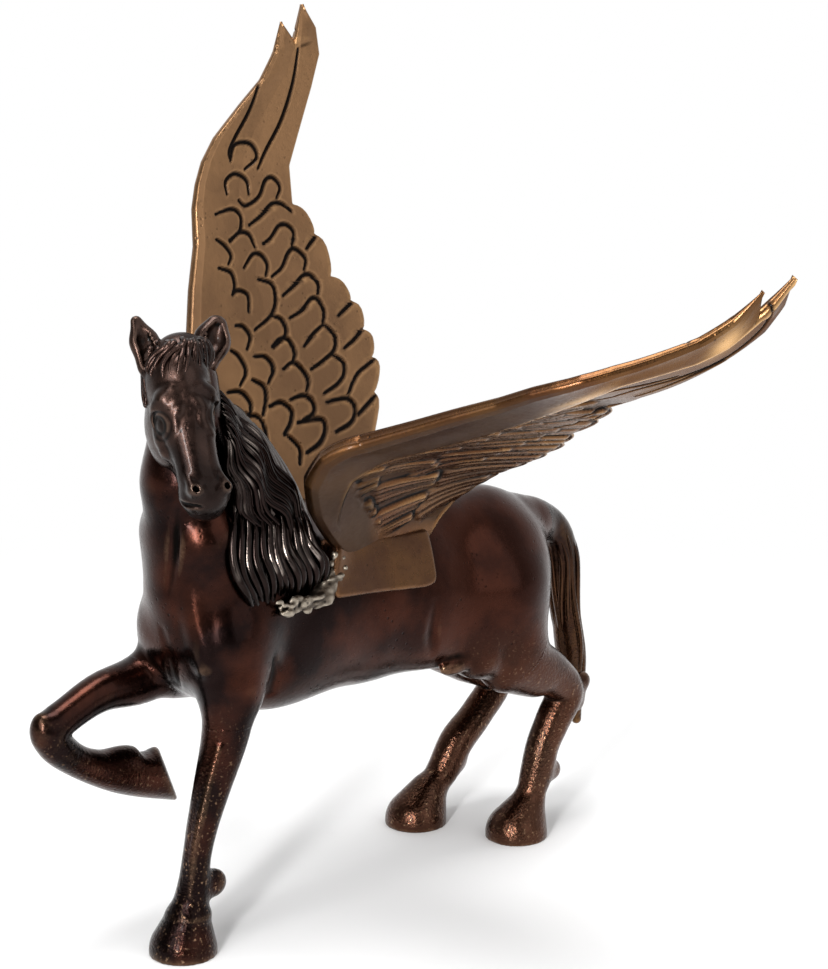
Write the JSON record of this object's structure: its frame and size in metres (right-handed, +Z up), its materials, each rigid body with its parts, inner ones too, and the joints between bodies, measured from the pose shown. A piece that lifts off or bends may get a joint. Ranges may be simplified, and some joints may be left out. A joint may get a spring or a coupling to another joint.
{
  "type": "winged horse figurine",
  "caption": "Free-standing cast brass winged horse with raised foreleg, turned head, flowing mane and two raised feathered wings.",
  "frame": {"origin": "on the table surface, under the middle of the bounding box", "axes": "+Z up, -Y the way the horse faces, +X the horse's own left"},
  "size_m": [0.1878, 0.2044, 0.2552],
  "materials": {
    "body_brass": "polished and darkly patinated cast brass, warm brown",
    "head_brass": "polished and darkly patinated cast brass, near black",
    "mane_brass": "cast strands, darkly patinated, bright on the ridges",
    "foreleg_brass": "cast brass, brown patina, rough below the knee",
    "raised_leg_brass": "cast brass, dark brown patina",
    "hindleg_brass": "cast brass, chestnut patina, rough below the hock",
    "tail_brass": "cast strands, dark brown patina",
    "wing_brass": "antique gold brown with dark chased lines",
    "solder_metal": "bright rough solder"
  },
  "bodies": {
    "root": {"body_left_half": "body_brass", "body_right_half": "body_brass", "head": "head_brass", "mane": "mane_brass", "left_foreleg": "foreleg_brass", "right_foreleg": "raised_leg_brass", "left_hindleg": "hindleg_brass", "right_hindleg": "hindleg_brass", "tail": "tail_brass", "left_wing": "wing_brass", "right_wing": "wing_brass", "left_wing_solder": "solder_metal"}
  },
  "joints": []
}
